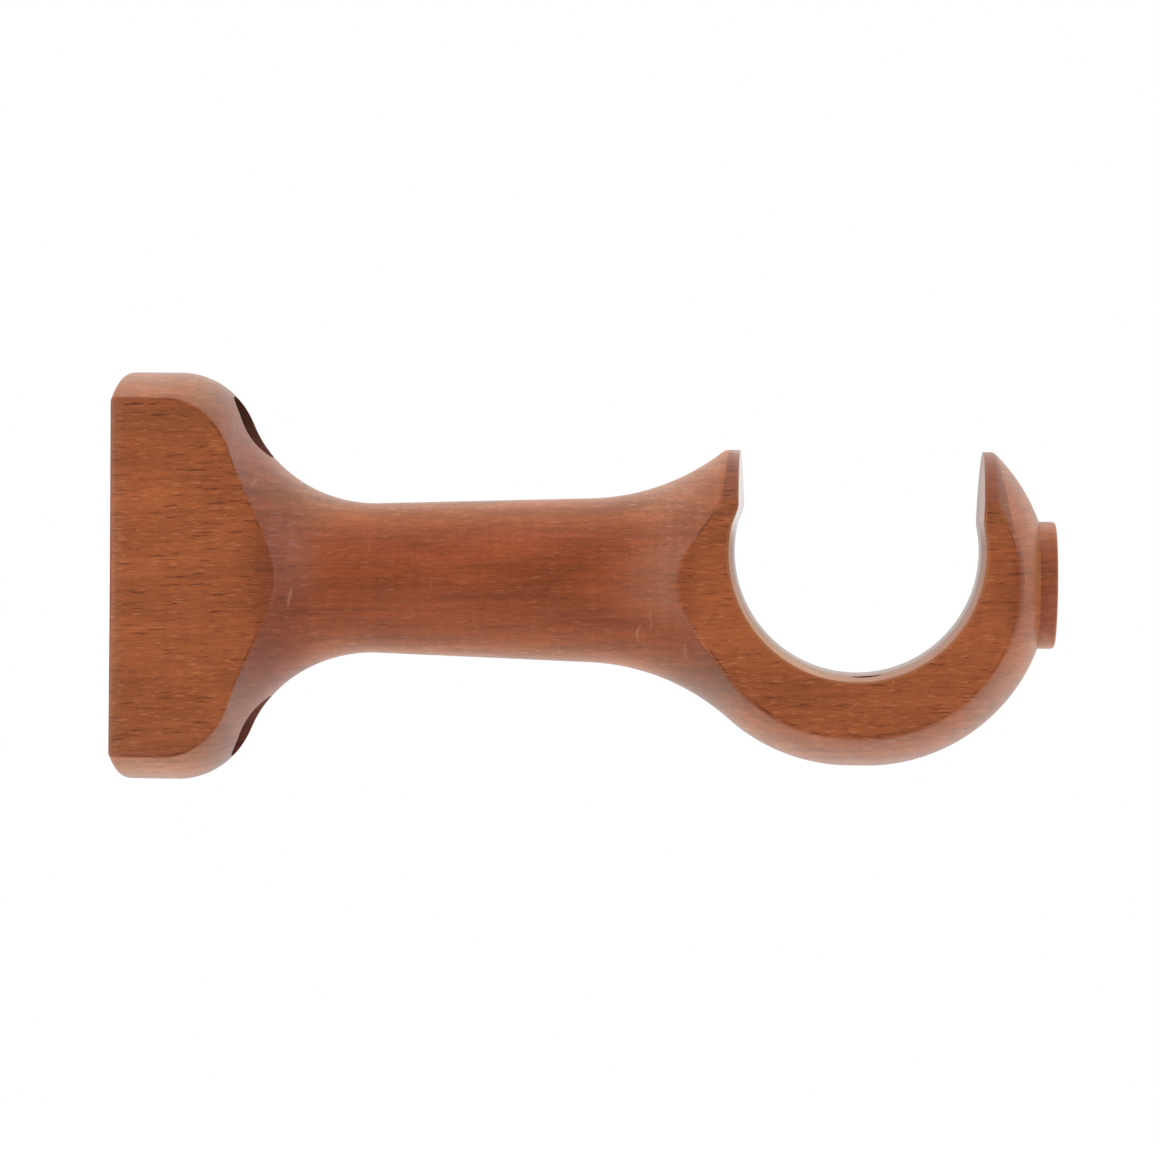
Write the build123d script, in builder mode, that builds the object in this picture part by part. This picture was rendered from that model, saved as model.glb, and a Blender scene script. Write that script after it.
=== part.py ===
"""Curtain pole bracket: one piece of hardwood, turned between centres from a flat plank.

The turned outline is revolved about the arm, the plank's two faces leave flats on the base and the head,
and a cup for the pole is bored across the head and opened at the top. Two slanted holes take the wall
screws, and a small hole under the cup takes the screw that locks the pole.

Millimetres and degrees. The origin is the middle of the wall face, on the turning axis. +X runs along the
arm away from the wall, +Y along the pole, and +Z is up.
"""
import os
from math import acos, cos, degrees, radians, sin, sqrt, tan

from build123d import *

# Plank that the piece is turned from
plank_thickness = 25.0

# Base against the wall: a short rim, then a rounded shoulder that runs into a cove
base_diameter = 49.0
rim_length = 6.3
shoulder_radius = 8.5
cove_radius = 17.0

# Arm: narrowest where the cove ends, with a gentle taper up to the head
arm_diameter = 18.0
arm_taper = 1.85
throat_radius = 27.0

# Head: two half balls with a short straight between them, as wide as the mouth and a horn on each side
head_distance = 87.75
head_straight = 1.9
horn_thickness = 7.5

# Nib left at the end of the turning
nib_diameter = 15.1
nib_length = 2.0

# Cup for the pole, and the mouth above it, which a lip on each side makes narrower than the cup
cup_diameter = 29.8
cup_distance = 87.6
cup_height = 3.7
mouth_width = 28.4
mouth_shift = 0.4
mouth_flare = 1.5
lip_height = 5.8
lip_drop = 3.0

# Tips of the horns: the upper side of the head is rounded about the arm at this height
tip_height = 15.75

# Wall screw holes, slanted so that a driver clears the head, with a flat seat for the screw head
screw_spacing = 28.0
screw_slant = 15.0
screw_hole_diameter = 4.5
screw_head_diameter = 8.3
screw_seat_distance = 5.0

# Hole for the screw that locks the pole
lock_hole_diameter = 3.5
lock_hole_shift = 1.3

# Edge broken by sanding, at the end of the nib
sanded_edge = 0.4

# Turned outline: what follows from the sizes above
base_radius = base_diameter / 2
arm_radius = arm_diameter / 2
ogee_radius = shoulder_radius + cove_radius
ogee_drop = base_radius - arm_radius + cove_radius * (1 - cos(radians(arm_taper)))
shoulder_turn = degrees(acos(1 - ogee_drop / ogee_radius))
head_diameter = mouth_width + 2 * horn_thickness
head_radius = head_diameter / 2
nib_radius = nib_diameter / 2
nib_start = head_distance + head_straight / 2 + sqrt(head_radius**2 - nib_radius**2)
nib_end = nib_start + nib_length

# Opening for the pole: corners of its outline, measured from the middle of the cup
cup_radius = cup_diameter / 2
cup_plane = Plane((cup_distance, plank_thickness, cup_height), x_dir=(1, 0, 0), z_dir=(0, -1, 0))
lip_foot = lip_height - lip_drop
lip_reach = sqrt(cup_radius**2 - lip_foot**2)
mouth_left = mouth_shift - mouth_width / 2
mouth_right = mouth_shift + mouth_width / 2
wall_top = head_radius
wall_lean = (wall_top - lip_height) * tan(radians(mouth_flare))

with BuildPart() as bracket:
    # Half of the turned outline, revolved about the arm
    with BuildSketch() as turning:
        with BuildLine():
            rim = Line((0, base_radius), (rim_length, base_radius))
            shoulder = JernArc(rim @ 1, rim % 1, shoulder_radius, -shoulder_turn)
            cove = JernArc(shoulder @ 1, shoulder % 1, cove_radius, shoulder_turn + arm_taper)
            arm_start = cove @ 1
            arm_rise = (head_distance - arm_start.X) * tan(radians(arm_taper))
            arm = Line(arm_start, (head_distance, arm_start.Y + arm_rise))
            Polyline(arm @ 1, (head_distance, 0), (0, 0), rim @ 0)
        make_face()
        with Locations((head_distance, 0)):
            SlotCenterToCenter(head_straight, head_diameter)
            Rectangle(nib_end - head_distance, nib_diameter, align=(Align.MIN, Align.CENTER))
        Rectangle(nib_end, base_diameter, align=Align.MIN, mode=Mode.INTERSECT)
        throat = turning.vertices().filter_by_position(Axis.X, arm_start.X, head_distance, (False, False))
        fillet(throat.sort_by(Axis.Y)[0], throat_radius)
        nib_corner = turning.vertices().group_by(Axis.X)[-1].sort_by(Axis.Y)[-1]
        chamfer(nib_corner, sanded_edge)
    revolve(axis=Axis.X)

    # Flats left by the plank's two faces
    Box(
        nib_end,
        plank_thickness,
        base_diameter,
        align=(Align.MIN, Align.CENTER, Align.CENTER),
        mode=Mode.INTERSECT,
    )

    # Upper side of the head, rounded across the plank
    with BuildSketch(Plane.YZ.offset(arm_start.X)):
        Rectangle(base_diameter, base_diameter, align=(Align.CENTER, Align.MIN))
        Circle(tip_height, mode=Mode.SUBTRACT)
    extrude(amount=nib_end - arm_start.X, mode=Mode.SUBTRACT)

    # Cup, lips and mouth, cut right through along the pole
    with BuildSketch(cup_plane):
        with BuildLine():
            cup = ThreePointArc((-lip_reach, lip_foot), (0, -cup_radius), (lip_reach, lip_foot))
            Spline(cup @ 1, (mouth_right, lip_height), tangents=[cup % 1, (0, 1)])
            Polyline(
                (mouth_right, lip_height),
                (mouth_right + wall_lean, wall_top),
                (mouth_left - wall_lean, wall_top),
                (mouth_left, lip_height),
            )
            Spline((mouth_left, lip_height), cup @ 0, tangents=[(0, -1), cup % 0])
        make_face()
    extrude(amount=2 * plank_thickness, mode=Mode.SUBTRACT)

    # Wall screw holes above and below the arm, each with a recess for the screw head
    slant = Vector(cos(radians(screw_slant)), 0, sin(radians(screw_slant)))
    seat = Vector(0, 0, screw_spacing / 2) + slant * screw_seat_distance
    for side in (1, -1):
        with Locations(Plane((seat.X, 0, side * seat.Z), z_dir=(slant.X, 0, side * slant.Z))):
            Hole(screw_hole_diameter / 2)
            Cylinder(
                screw_head_diameter / 2,
                base_diameter,
                align=(Align.CENTER, Align.CENTER, Align.MIN),
                mode=Mode.SUBTRACT,
            )

    # Lock screw hole, up through the floor of the cup
    with Locations((cup_distance + lock_hole_shift, 0, cup_height)):
        Hole(lock_hole_diameter / 2)

bracket.part.label = "bracket_body"
os.makedirs("parts", exist_ok=True)
export_step(bracket.part, "parts/bracket_body.step")
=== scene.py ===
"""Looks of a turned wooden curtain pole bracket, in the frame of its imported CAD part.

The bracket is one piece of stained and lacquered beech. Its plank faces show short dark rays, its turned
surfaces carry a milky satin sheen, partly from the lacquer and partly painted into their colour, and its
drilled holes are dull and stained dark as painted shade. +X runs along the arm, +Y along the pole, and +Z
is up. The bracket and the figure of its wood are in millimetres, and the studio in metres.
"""

import logging
from dataclasses import asdict, dataclass, field, fields
from enum import Enum
from typing import Union

import bpy
import numpy as np
from mathutils import Matrix, Vector


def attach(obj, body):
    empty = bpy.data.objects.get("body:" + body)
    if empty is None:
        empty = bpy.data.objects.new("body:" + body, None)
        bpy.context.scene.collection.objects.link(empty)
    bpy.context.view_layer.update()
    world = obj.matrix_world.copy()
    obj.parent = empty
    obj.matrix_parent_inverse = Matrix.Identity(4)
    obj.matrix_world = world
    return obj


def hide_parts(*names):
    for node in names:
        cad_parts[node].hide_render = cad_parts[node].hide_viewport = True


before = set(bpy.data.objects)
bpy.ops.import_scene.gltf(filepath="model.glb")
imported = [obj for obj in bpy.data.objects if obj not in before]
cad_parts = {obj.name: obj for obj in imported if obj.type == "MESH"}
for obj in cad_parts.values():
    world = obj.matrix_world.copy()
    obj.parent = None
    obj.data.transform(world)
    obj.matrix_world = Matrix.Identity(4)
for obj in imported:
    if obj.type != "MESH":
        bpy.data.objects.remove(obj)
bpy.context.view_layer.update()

MM = 0.001
TINY = 1e-6
QUARTER = 0.5 * np.pi
FIGURES = ("Rays", "Pale", "Specks", "Streak", "Mottle", "Pores")

Tree = bpy.types.NodeTree
Socket = bpy.types.NodeSocket
Outputs = bpy.types.NodeOutputs
Value = Union[float, Socket]
Colour = tuple[float, float, float]
Size = tuple[float, float, float]
Place = tuple[float, float, float]
Span = tuple[float, float]
Paint = Union[Colour, Socket]
Faces = list[list[int]]
Array = np.ndarray

log = logging.getLogger("bracket")


class Surface(Enum):
    """How a face of the bracket was made. The value is its material index."""

    OUTSIDE = 0
    CUP = 1
    BORE = 2


@dataclass(frozen=True)
class Blotches:
    """Soft noise: the size of its blotches along each axis, and the count and strength of finer layers."""

    size: Size
    detail: float = 2.0
    roughness: float = 0.5


@dataclass(frozen=True)
class Spindles:
    """Scattered spindles that fade at their ends, one at most in each cell.

    A cell has that length along each axis, and share is the part of the cells that hold a spindle. Reach is
    the smallest and the largest half length, in cells. On a plane the spindles run right through along the
    third axis. Core is the share of a spindle that doesn't fade, and faintest the strength of the weakest.
    """

    cell: Size
    share: float
    reach: Span
    plane: bool = False
    core: float = 0.45
    faintest: float = 0.35


class Desk:
    """Places and joins shader nodes in one node tree."""

    def __init__(self, tree: Tree) -> None:
        """Starts on a tree, and empties it."""
        self.tree = tree
        tree.nodes.clear()

    def put(self, kind: str, inputs: dict | None = None, **settings: object) -> bpy.types.Node:
        """Adds one node.

        Args:
            kind: the node's type, without the leading "ShaderNode".
            inputs: values or sockets for its inputs, by name or by index.
            settings: the node's own properties.

        Returns:
            The new node.
        """
        node = self.tree.nodes.new("ShaderNode" + kind)
        for name, value in settings.items():
            setattr(node, name, value)
        for key, value in (inputs or {}).items():
            self.feed(node.inputs[key], value)
        return node

    def feed(self, socket: Socket, value: object) -> None:
        """Links a socket into another, or sets its constant value.

        Args:
            socket: the input to fill.
            value: an output socket, a number, or a tuple of numbers.
        """
        if isinstance(value, Socket):
            self.tree.links.new(value, socket)
        elif socket.type == "RGBA":
            socket.default_value = (*value[:3], 1.0)
        else:
            socket.default_value = value

    def math(self, operation: str, first: Value, second: Value = 0.0, clamp: bool = False) -> Socket:
        """One Math node on two values, and its result."""
        return self.put("Math", {0: first, 1: second}, operation=operation, use_clamp=clamp).outputs[0]

    def product(self, first: Value, *others: Value) -> Value:
        """Multiplies values.

        Args:
            first: the first value.
            others: the values to multiply it by.

        Returns:
            Their product.
        """
        for other in others:
            first = self.math("MULTIPLY", first, other)
        return first

    def swing(self, noise: Socket, reach: Value) -> Socket:
        """A noise about 0.5 as a swing about 0 that has this reach from end to end."""
        return self.product(self.math("SUBTRACT", noise, 0.5), reach)

    def ramp(self, value: Value, low: Value, high: Value, start: Value = 0.0, end: Value = 1.0) -> Socket:
        """A smooth step from start, at low, to end, at high."""
        inputs = {"Value": value, "From Min": low, "From Max": high, "To Min": start, "To Max": end}
        return self.put("MapRange", inputs, interpolation_type="SMOOTHSTEP").outputs["Result"]

    def fall(self, value: Value, low: Value, high: Value) -> Socket:
        """A smooth step from 1, at low, down to 0, at high."""
        return self.ramp(value, low, high, 1.0, 0.0)

    def vector(self, operation: str, first: Socket, second: Size | Socket = (0.0, 0.0, 0.0)) -> Socket:
        """One Vector Math node on two vectors, and its vector."""
        return self.put("VectorMath", {0: first, 1: second}, operation=operation).outputs["Vector"]

    def length(self, vector: Socket) -> Socket:
        """The length of a vector."""
        return self.put("VectorMath", {0: vector}, operation="LENGTH").outputs["Value"]

    def split(self, vector: Socket) -> Outputs:
        """The X, Y and Z of a vector."""
        return self.put("SeparateXYZ", {"Vector": vector}).outputs

    def join(self, x: Value = 0.0, y: Value = 0.0, z: Value = 0.0) -> Socket:
        """The vector with that X, Y and Z."""
        return self.put("CombineXYZ", {"X": x, "Y": y, "Z": z}).outputs[0]

    def grey(self, level: Socket) -> Socket:
        """The grey of that level."""
        return self.put("CombineColor", {0: level, 1: level, 2: level}).outputs[0]

    def mix(self, factor: Value, first: Paint, second: Paint, blend: str = "MIX") -> Socket:
        """Mixes two colours. The Mix node's inputs 6 and 7 and its output 2 are the ones for colours.

        Args:
            factor: share of the second colour.
            first: the first colour.
            second: the second colour.
            blend: the blend mode.

        Returns:
            The mixed colour.
        """
        node = self.put("Mix", data_type="RGBA", blend_type=blend, clamp_factor=True)
        self.feed(node.inputs[0], factor)
        self.feed(node.inputs[6], first)
        self.feed(node.inputs[7], second)
        return node.outputs[2]

    def tint(self, factor: Value, colour: Paint, tone: Paint) -> Socket:
        """A colour that is multiplied by a tone, as far as the factor says."""
        return self.mix(factor, colour, tone, "MULTIPLY")

    def noise(self, point: Socket, blotches: Blotches) -> Socket:
        """Lays soft noise.

        Args:
            point: where on the surface, in millimetres.
            blotches: the kind of noise.

        Returns:
            The noise, about 0.5.
        """
        inputs = {"Vector": self.vector("DIVIDE", point, blotches.size), "Scale": 1.0}
        inputs |= {"Detail": blotches.detail, "Roughness": blotches.roughness}
        return self.put("TexNoise", inputs, noise_dimensions="3D").outputs["Fac"]

    def flecks(self, point: Socket, spindles: Spindles) -> Socket:
        """Scatters spindles: each cell draws whether it holds one, its length and its strength.

        Args:
            point: where on the surface, in millimetres.
            spindles: the kind of spindles.

        Returns:
            A mask, 1 in the strongest spindles and 0 between them.
        """
        inputs = {"Vector": self.vector("DIVIDE", point, spindles.cell), "Scale": 1.0, "Randomness": 1.0}
        room = "2D" if spindles.plane else "3D"
        cells = self.put("TexVoronoi", inputs, feature="F1", voronoi_dimensions=room).outputs
        drawn = self.put("SeparateColor", {"Color": cells["Color"]}).outputs
        present = self.math("LESS_THAN", drawn[0], spindles.share)
        limit = self.ramp(drawn[1], 0.0, 1.0, *spindles.reach)
        body = self.fall(cells["Distance"], self.product(limit, spindles.core), limit)
        return self.product(body, present, self.ramp(drawn[2], 0.0, 1.0, spindles.faintest, 1.0))


def node_group(name: str, inputs: dict[str, str], outputs: dict[str, str]) -> tuple[Desk, dict, dict]:
    """Makes an empty shader node group with named sockets.

    Args:
        name: the group's name.
        inputs: kind of each input, by name: Vector, Float or Color.
        outputs: kind of each output, by name.

    Returns:
        A desk on the group's tree, the inputs as sockets to read, and the outputs as sockets to feed.
    """
    tree = bpy.data.node_groups.new(name, "ShaderNodeTree")
    for in_out, sockets in (("INPUT", inputs), ("OUTPUT", outputs)):
        for label, kind in sockets.items():
            tree.interface.new_socket(label, in_out=in_out, socket_type="NodeSocket" + kind)
    desk = Desk(tree)
    entry = tree.nodes.new("NodeGroupInput")
    exit_node = tree.nodes.new("NodeGroupOutput")
    return desk, {n: entry.outputs[n] for n in inputs}, {n: exit_node.inputs[n] for n in outputs}


def new_material(name: str) -> tuple[bpy.types.Material, Desk]:
    """Makes a material with an empty node tree.

    Args:
        name: the material's name.

    Returns:
        The material, and a desk on its tree.
    """
    material = bpy.data.materials.new(name)
    material.use_nodes = True
    return material, Desk(material.node_tree)


def new_object(name: str, data: bpy.types.ID) -> bpy.types.Object:
    """Makes an object and links it into the scene.

    Args:
        name: the object's name.
        data: its mesh, lamp or camera.

    Returns:
        The object.
    """
    made = bpy.data.objects.new(name, data)
    bpy.context.scene.collection.objects.link(made)
    return made


@dataclass(frozen=True)
class BeechFigure:
    """The figure of the wood.

    The rays run right through the plank, so their cells and those of the pale flecks are given along the
    grain and across it. The other sizes are along the grain, along the rays and across both.
    """

    ray: Spindles = Spindles((5.0, 0.44, 1.0), 0.75, (0.12, 0.38), True)
    thin: Spindles = Spindles((2.7, 0.22, 1.0), 0.7, (0.12, 0.42), True)
    thin_strength: float = 0.65
    fray: Blotches = Blotches((0.7, 1.0, 0.2), 1.0)
    fray_span: Span = (0.42, 0.62)
    fray_low: float = 0.4
    pale: Spindles = Spindles((2.2, 0.34, 1.0), 0.6, (0.16, 0.4), True)
    pale_offset: Size = (41.0, 17.0, 0.0)
    speck: Spindles = Spindles((1.5, 1.5, 1.5), 0.5, (0.05, 0.12))
    streak: Blotches = Blotches((13.0, 4.0, 0.7), 3.0, 0.6)
    mottle: Blotches = Blotches((16.0, 7.0, 6.0))
    pore: Blotches = Blotches((1.1, 0.5, 0.12), 2.0, 0.6)
    wander: Blotches = Blotches((30.0, 15.0, 9.0), 1.0)
    wander_reach: float = 1.4
    waver: Blotches = Blotches((1.4, 3.0, 0.9), 1.0)
    waver_reach: float = 0.36
    rise: float = 0.03
    mark: Spindles = Spindles((0.7, 9.0, 5.0), 0.13, (0.16, 0.36))
    mark_sway: Blotches = Blotches((7.0, 5.0, 4.0), 1.0)
    sway_reach: float = 3.0
    ring: Blotches = Blotches((0.3, 14.0, 14.0), 2.0, 0.6)

    def group(self) -> Tree:
        """Builds the group that finds the figure at a point.

        Rays are spindles in stretched cells, streaks and pores are noise stretched along the grain, and all
        of it is bent a little across the grain by a slow noise and a quick one. Marks are thin spindles and
        rings are fine noise, both around the turning axis.

        Returns:
            A group with the outputs Rays, Pale, Specks, Streak, Mottle, Pores, Marks and Rings.
        """
        names = (*FIGURES, "Marks", "Rings")
        desk, given, found = node_group("beech_figure", {"Point": "Vector"}, dict.fromkeys(names, "Float"))
        start = given["Point"]
        shift = desk.swing(desk.noise(start, self.wander), self.wander_reach)
        tremble = desk.swing(desk.noise(start, self.waver), self.waver_reach)
        slope = desk.product(desk.split(start)["X"], -self.rise)
        bend = desk.math("ADD", desk.math("ADD", shift, tremble), slope)
        point = desk.vector("ADD", start, desk.join(z=bend))
        part = desk.split(point)
        plank = desk.join(part["X"], part["Z"])
        thin = desk.product(desk.flecks(plank, self.thin), self.thin_strength)
        rays = desk.math("MAXIMUM", desk.flecks(plank, self.ray), thin)
        frayed = desk.ramp(desk.noise(point, self.fray), *self.fray_span, 1.0, self.fray_low)
        sway = desk.swing(desk.noise(start, self.mark_sway), self.sway_reach)
        figure = {
            "Rays": desk.product(rays, frayed),
            "Pale": desk.flecks(desk.vector("ADD", plank, self.pale_offset), self.pale),
            "Specks": desk.flecks(point, self.speck),
            "Streak": desk.noise(point, self.streak),
            "Mottle": desk.noise(point, self.mottle),
            "Pores": desk.noise(point, self.pore),
            "Marks": desk.flecks(desk.vector("ADD", start, desk.join(sway)), self.mark),
            "Rings": desk.noise(start, self.ring),
        }
        for name, value in figure.items():
            desk.feed(found[name], value)
        return desk.tree


@dataclass(frozen=True)
class Stain:
    """One stain over the figured wood: linear colours, and how strongly the figure shows in them."""

    ground: Colour
    ray_tone: Colour
    pale_tone: Colour
    ray_strength: float
    pale_strength: float
    speck_strength: float
    streak_depth: float
    mottle_depth: float
    pore_depth: float

    @classmethod
    def group(cls) -> Tree:
        """Builds the group that lays a stain over the figure.

        Streaks, mottling and pores lighten or darken the ground, then pale flecks, specks and dark rays are
        mixed in by their masks. Its inputs are the fields of a stain and the figure.

        Returns:
            A group whose output Color is the stained wood, and Height the relief of its figure.
        """
        inputs = {item.name: "Color" if item.type == Colour else "Float" for item in fields(cls)}
        inputs |= dict.fromkeys(FIGURES, "Float")
        desk, given, found = node_group("stain_over_figure", inputs, {"Color": "Color", "Height": "Float"})
        level = 1.0
        depths = {"Streak": "streak_depth", "Mottle": "mottle_depth", "Pores": "pore_depth"}
        for name, depth in depths.items():
            level = desk.math("ADD", level, desk.product(desk.swing(given[name], given[depth]), 2.0))
        colour = desk.tint(1.0, given["ground"], desk.grey(level))
        groove = desk.product(given["Rays"], given["ray_strength"])
        pale = desk.product(given["Pale"], given["pale_strength"])
        specks = desk.product(given["Specks"], given["speck_strength"])
        for mask, tone in ((pale, "pale_tone"), (specks, "pale_tone"), (groove, "ray_tone")):
            colour = desk.mix(mask, colour, given[tone])
        desk.feed(found["Color"], colour)
        desk.feed(found["Height"], desk.math("SUBTRACT", given["Pores"], groove))
        return desk.tree


@dataclass(frozen=True)
class Spot:
    """A point of the wood as its material sees it.

    The point is in millimetres and place holds its X, Y and Z. Grain holds the figure there, and over is
    the group that lays a stain over it.
    """

    desk: Desk
    point: Socket
    place: Outputs
    grain: Outputs
    over: Tree

    def facing(self) -> Outputs:
        """The X, Y and Z of the surface's normal."""
        return self.desk.split(self.desk.put("NewGeometry").outputs["Normal"])

    def stained(self, stain: Stain) -> Outputs:
        """The Color and Height of the wood under a stain."""
        inputs = asdict(stain) | {name: self.grain[name] for name in FIGURES}
        return self.desk.put("Group", inputs, node_tree=self.over).outputs


@dataclass(frozen=True)
class ShadeSheenPatch:
    """A round patch of turned wood: painted shade where its tone darkens, as under the throat, and painted
    sheen where it pales. Its middle, its reach and its tone.
    """

    along: float
    height: float
    reach: float
    tone: Colour


@dataclass(frozen=True)
class WoodFinish:
    """Stained and lacquered beech: a stain for each kind of surface, and how it changes from place to place.
    Some of its tones paint light, shade and sheen into the colour.

    A tone multiplies a colour. A span is where a mask rises or falls: in millimetres, for a tilt as a part
    of the normal, and for the breaks in an outline as a noise. A satin is a roughness, or one at either end.
    """

    # Turned wood: sides painted paler and greyer as light and sheen, greyer end grain at the base, fine
    # rings, short marks, a nib painted greyer as sheen, and round patches of painted shade and painted sheen
    turned: Stain = Stain(
        ground=(0.272, 0.054, 0.0115),
        ray_tone=(0.13, 0.024, 0.006),
        pale_tone=(0.42, 0.15, 0.07),
        ray_strength=0.3,
        pale_strength=0.32,
        speck_strength=0.4,
        streak_depth=0.48,
        mottle_depth=0.4,
        pore_depth=0.42,
    )
    # painted light and sheen: the tilt over which turned sides grow paler, and the tone that pales them
    side_sheen_tilt: Span = (0.3, 0.9)
    side_sheen_tone: Colour = (1.36, 2.02, 2.4)
    end_tilt: Span = (0.25, 0.85)
    end_grain: Colour = (0.69, 0.57, 0.66)
    base_reach: Span = (30.0, 42.0)
    ring_depth: float = 0.1
    # painted sheen: where the nib begins, and the tone that greys it
    nib: Span = (107.7, 108.5)
    nib_sheen_tone: Colour = (0.97, 1.12, 1.6)
    mark_tone: Colour = (0.55, 0.3, 0.2)
    mark_strength: float = 0.3
    patch_core: float = 1.0
    # painted shade and painted sheen: darker patches stand for shade, paler and greyer ones for sheen
    shade_sheen_patches: tuple[ShadeSheenPatch, ...] = (
        ShadeSheenPatch(70.0, -11.5, 8.5, (0.68, 0.68, 0.74)),
        ShadeSheenPatch(66.0, 7.0, 7.0, (1.14, 1.5, 2.6)),
        ShadeSheenPatch(22.0, 8.5, 6.5, (0.9, 1.1, 1.5)),
        ShadeSheenPatch(19.8, 2.5, 6.5, (1.05, 1.4, 2.6)),
        ShadeSheenPatch(19.5, -10.5, 6.5, (0.8, 0.65, 0.5)),
        ShadeSheenPatch(107.5, -3.5, 5.0, (0.9, 0.82, 0.85)),
        ShadeSheenPatch(103.2, -12.0, 6.0, (0.82, 0.98, 1.7)),
        ShadeSheenPatch(88.0, -21.0, 14.0, (1.0, 1.1, 1.6)),
        ShadeSheenPatch(66.0, 0.0, 7.0, (0.95, 1.14, 1.08)),
        ShadeSheenPatch(3.0, 24.0, 7.0, (1.0, 1.1, 1.35)),
        ShadeSheenPatch(4.0, -22.0, 7.0, (1.12, 1.3, 1.6)),
        ShadeSheenPatch(12.5, 22.0, 5.5, (0.84, 1.0, 1.05)),
        ShadeSheenPatch(12.5, -20.5, 5.0, (0.88, 1.0, 1.05)),
        ShadeSheenPatch(105.5, 10.5, 6.0, (1.0, 1.05, 1.5)),
        ShadeSheenPatch(110.0, -6.0, 5.0, (1.3, 1.3, 1.4)),
    )

    # Plank faces: dark pools where they run out, each a middle, a reach and a strength, a dark brim at the
    # base, a pale painted sheen along the rounded edge at the wall and a broken dark outline
    flat: Stain = Stain(
        ground=(0.33, 0.082, 0.019),
        ray_tone=(0.14, 0.028, 0.005),
        pale_tone=(0.5, 0.18, 0.065),
        ray_strength=0.9,
        pale_strength=0.5,
        speck_strength=0.8,
        streak_depth=0.36,
        mottle_depth=0.3,
        pore_depth=0.4,
    )
    edge_band: Span = (12.32, 12.4)
    edge_rag: float = 0.1
    end_reach: Span = (95.0, 103.0)
    end_shift: float = 0.6
    pools: tuple[tuple[float, float, float], ...] = ((21.0, 7.5, 1.0), (66.7, 4.5, 0.5), (107.0, 5.0, 0.6))
    pool_core: float = 0.5
    pool_squash: float = 0.45
    pool_tone: Colour = (0.62, 0.48, 0.44)
    brim: Span = (15.5, 20.5)
    brim_tone: Colour = (0.85, 0.87, 0.94)
    # painted sheen: the band along the wall edge, and the tone that pales it
    wall_sheen_band: Span = (0.8, 2.0)
    wall_sheen_tone: Colour = (1.0, 1.15, 1.6)
    line_rise: Span = (12.4, 12.45)
    line_fall: Span = (12.49, 12.499)
    line_start: Span = (1.0, 4.0)
    line_end: Span = (7.5, 9.0)
    line_tip: Span = (1.5, 6.0)
    line_breaks: Blotches = Blotches((3.5, 3.5, 3.5))
    break_span: Span = (0.4, 0.62)
    line_tone: Colour = (0.64, 0.52, 0.46)

    # Horns: the plank's stain between two leaning lines, each a distance along the arm and its lean,
    # darkened as painted shade where it runs off the plank onto the upturned ball
    head_start: float = 60.0
    horn_start: float = 6.0
    horn_top: float = 15.3
    horn_left: Span = (72.3, -0.08)
    horn_right: Span = (103.9, 0.2)
    horn_blur: float = 0.12
    # painted shade on the horns off the plank
    horn_shade_tone: Colour = (0.86, 0.76, 0.74)
    horn_fade: Span = (4.0, 10.0)
    fade_tone: Colour = (0.78, 0.84, 1.0)

    # Cup: painted shade at the back, a paler painted reflection towards the arm, with a darker rounded rim
    # and polished mouth walls
    cup: Stain = Stain(
        ground=(0.36, 0.125, 0.042),
        ray_tone=(0.16, 0.05, 0.02),
        pale_tone=(0.5, 0.26, 0.15),
        ray_strength=0.3,
        pale_strength=0.2,
        speck_strength=0.2,
        streak_depth=0.2,
        mottle_depth=0.2,
        pore_depth=0.16,
    )
    # painted shade at the back of the cup
    back_shade_band: Span = (-4.0, 10.0)
    back_shade_tone: Colour = (0.5, 0.47, 0.45)
    # painted reflection towards the arm
    cup_sheen_side: Span = (80.0, 92.0)
    cup_sheen_tone: Colour = (1.28, 1.65, 2.0)
    rim_tilt: Span = (0.2, 0.65)
    rim_band: Span = (7.0, 10.0)
    rim_tones: tuple[Colour, Colour] = ((0.88, 0.8, 0.75), (0.62, 0.43, 0.33))
    cup_satin: Span = (0.5, 0.27)
    mouth_tilt: Span = (0.8, 0.97)
    mouth_band: Span = (4.0, 8.0)
    mouth_split: float = 88.0
    mouth_satin: Span = (0.12, 0.3)

    # Holes: a dark stain that is painted shade in the holes, dull, and paler below the arm as painted light
    bore: Stain = Stain(
        ground=(0.12, 0.037, 0.019),
        ray_tone=(0.04, 0.012, 0.006),
        pale_tone=(0.13, 0.05, 0.03),
        ray_strength=0.5,
        pale_strength=0.2,
        speck_strength=0.1,
        streak_depth=0.3,
        mottle_depth=0.4,
        pore_depth=0.16,
    )
    # painted light: the band below the arm, and the tone that pales the holes there
    low_light_band: Span = (-2.0, 2.0)
    low_light_tone: Colour = (1.9, 1.9, 2.4)
    dull: float = 0.75

    # Lacquer
    satin: float = 0.33
    satin_swing: float = 0.12
    relief_strength: float = 0.25
    relief_depth: float = 0.03
    lacquer_index: float = 1.5

    def turned_wood(self, spot: Spot) -> Socket:
        """Colours what was turned.

        Args:
            spot: the point to colour.

        Returns:
            The colour.
        """
        desk, place, facing = spot.desk, spot.place, spot.facing()
        # painted light and sheen: turned wood that doesn't face the front or the back is made paler and
        # greyer
        aside = desk.fall(desk.math("ABSOLUTE", facing["Y"]), *self.side_sheen_tilt)
        by_base = desk.fall(place["X"], *self.base_reach)
        ends = desk.product(desk.ramp(facing["X"], *self.end_tilt), by_base)
        ringed = desk.math("ADD", desk.swing(spot.grain["Rings"], 2.0 * self.ring_depth), 1.0)
        colour = desk.tint(aside, spot.stained(self.turned)["Color"], self.side_sheen_tone)
        colour = desk.tint(ends, colour, self.end_grain)
        colour = desk.tint(1.0, colour, desk.grey(ringed))
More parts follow.
